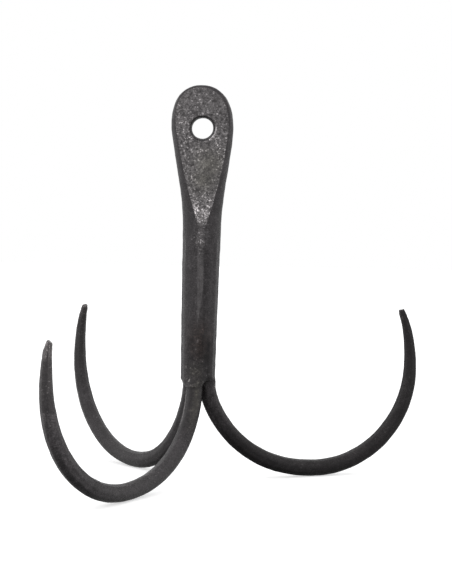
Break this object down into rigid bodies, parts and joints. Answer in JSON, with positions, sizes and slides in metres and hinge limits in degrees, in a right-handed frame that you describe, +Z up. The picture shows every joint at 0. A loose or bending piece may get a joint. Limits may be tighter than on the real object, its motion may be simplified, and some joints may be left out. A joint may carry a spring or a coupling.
{
  "type": "grapnel anchor",
  "caption": "Hand-forged iron grapnel anchor: round shank flattened into a pierced eye at the top, with upturned tapered prongs at the bottom.",
  "frame": {"origin": "on the ground, in the middle of the bounding box; the shank's axis is upright at x -33.1 mm, y +16.8 mm", "axes": "+Z up along the shank towards the eye; the palm's pierced flats face -Y (front) and +Y (back)"},
  "size_m": [0.2807, 0.3003, 0.2975],
  "materials": {
    "shank_iron": "hammered dark forge scale, pitted, brightest on the palm's flats",
    "prong_iron": "smooth dark forge scale, worn bright at the points"
  },
  "bodies": {
    "root": {"shank": "shank_iron", "prong_right": "prong_iron", "prong_rear_left": "prong_iron", "prong_front_left": "prong_iron"}
  },
  "joints": []
}
